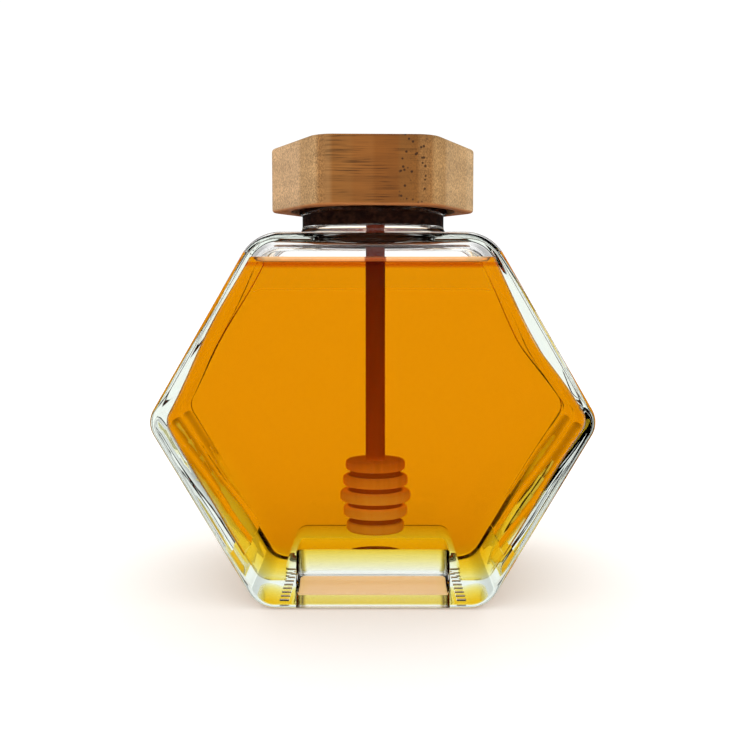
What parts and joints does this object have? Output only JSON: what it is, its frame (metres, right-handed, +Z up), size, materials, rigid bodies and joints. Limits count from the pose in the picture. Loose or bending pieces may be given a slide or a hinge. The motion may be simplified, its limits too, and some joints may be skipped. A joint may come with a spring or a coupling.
{
  "type": "hexagonal honey jar",
  "caption": "Flat hexagonal glass jar of honey standing on one side, with a wooden dipper through a cork stopper and a hexagonal bamboo lid.",
  "frame": {"origin": "middle of the base, on the surface that the jar stands on", "axes": "+Z up, through the neck; the jar's large hexagonal front faces -Y; +X to the right as seen from the front"},
  "size_m": [0.1208, 0.057, 0.129],
  "materials": {
    "jar_glass": "clear polished flint glass",
    "honey": "clear amber honey",
    "dipper_wood": "plain turned beech",
    "stopper_cork": "dark pressed cork",
    "lid_bamboo": "laminated bamboo, lightly sealed"
  },
  "bodies": {
    "root": {"jar": "jar_glass", "honey": "honey", "dipper": "dipper_wood", "stopper": "stopper_cork", "lid": "lid_bamboo"}
  },
  "joints": []
}
